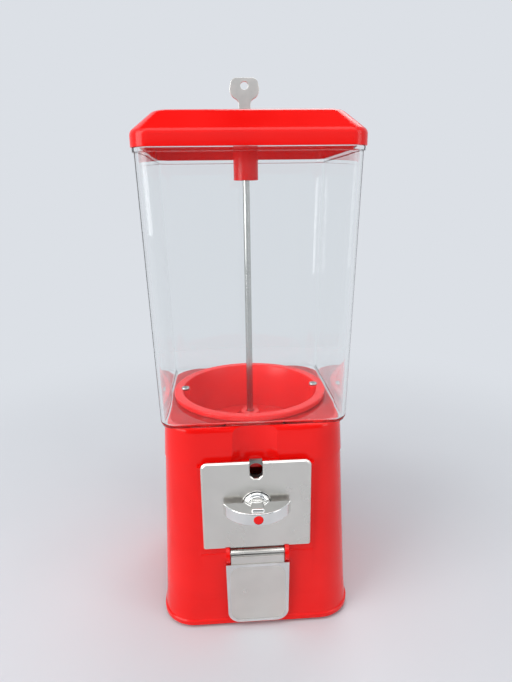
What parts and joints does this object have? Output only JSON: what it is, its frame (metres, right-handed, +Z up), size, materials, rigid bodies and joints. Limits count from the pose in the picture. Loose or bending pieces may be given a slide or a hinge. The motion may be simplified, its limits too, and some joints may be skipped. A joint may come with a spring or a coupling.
{
  "type": "gumball machine",
  "caption": "Square coin-turn gumball machine: tapered red cast body, clear square globe over a hopper and pocket wheel, coin plate with crank, chute flap and a keyed lid.",
  "frame": {"origin": "centre of the base's underside, on the centre rod's line", "axes": "+Z up, front with the coin plate towards -Y, +X to the right seen from the front"},
  "size_m": [0.1714, 0.1937, 0.4662],
  "materials": {
    "red_enamel": "glossy baked enamel",
    "red_plastic": "moulded, glossy",
    "clear_globe": "clear moulded",
    "chrome": "polished plating",
    "satin_nickel": "satin plated casting",
    "bright_steel": "zinc plated",
    "cast_zinc": "as cast",
    "galvanised_sheet": "folded sheet",
    "key_nickel": "worn nickel plate",
    "lock_brass": "turned",
    "black_rubber": "moulded"
  },
  "bodies": {
    "cabinet": {"base_casting": "red_enamel", "rubber_feet": "black_rubber", "body_shell": "red_enamel", "top_collar": "red_enamel", "globe": "clear_globe", "hopper_bowl": "red_plastic", "hopper_screws": "bright_steel", "center_rod": "bright_steel", "rod_nut": "bright_steel", "rod_washer": "bright_steel", "thrust_washer": "bright_steel", "coin_plate": "satin_nickel", "plate_nuts": "bright_steel", "shaft_bushing": "chrome", "mech_frame": "cast_zinc", "mech_screws": "bright_steel", "pawl_stud": "bright_steel", "chute": "galvanised_sheet", "coin_deflector": "galvanised_sheet", "flap_pin": "bright_steel"},
    "crank": {"handle": "chrome", "handle_dot": "red_enamel", "handle_grub": "bright_steel", "drive_shaft": "bright_steel", "coin_wheel": "cast_zinc", "ratchet_wheel": "cast_zinc", "drive_pinion": "cast_zinc", "shaft_clip": "bright_steel"},
    "dispenser": {"gum_wheel": "red_plastic", "gum_hub": "red_plastic", "crown_ring": "cast_zinc"},
    "pawl": {"ratchet_pawl": "cast_zinc"},
    "flap": {"chute_flap": "satin_nickel"},
    "lid_top": {"lid": "red_enamel", "lid_boss": "red_enamel", "lock_barrel": "chrome"},
    "lock": {"lock_plug": "lock_brass", "lock_nut": "lock_brass"},
    "key_piece": {"key": "key_nickel"}
  },
  "joints": [
    {"name": "crank_turn", "type": "hinge", "parent": "cabinet", "child": "crank", "pos_m": [0, -0.07, 0.1215], "axis": [0, 1, 0], "continuous": true},
    {"name": "wheel_turn", "type": "hinge", "parent": "cabinet", "child": "dispenser", "pos_m": [0, 0, 0.14], "axis": [0, 0, 1], "continuous": true},
    {"name": "pawl_lift", "type": "hinge", "parent": "cabinet", "child": "pawl", "pos_m": [-0.021, -0.064, 0.1335], "axis": [0, -1, 0], "range_deg": [0, 12]},
    {"name": "flap_swing", "type": "hinge", "parent": "cabinet", "child": "flap", "pos_m": [0, -0.0835, 0.0725], "axis": [-1, 0, 0], "range_deg": [0, 75]},
    {"name": "lid_lift", "type": "slide", "parent": "cabinet", "child": "lid_top", "axis": [0, 0, 1], "range_m": [0, 0.12]},
    {"name": "lock_turn", "type": "hinge", "parent": "lid_top", "child": "lock", "pos_m": [0, 0, 0.42], "axis": [0, 0, 1], "continuous": true},
    {"name": "key_pull", "type": "slide", "parent": "lock", "child": "key_piece", "axis": [0, 0, 1], "range_m": [0, 0.03]}
  ],
  "couplings": [
    {"joint": "wheel_turn", "follows": "crank_turn", "ratio": 0.16667}
  ]
}
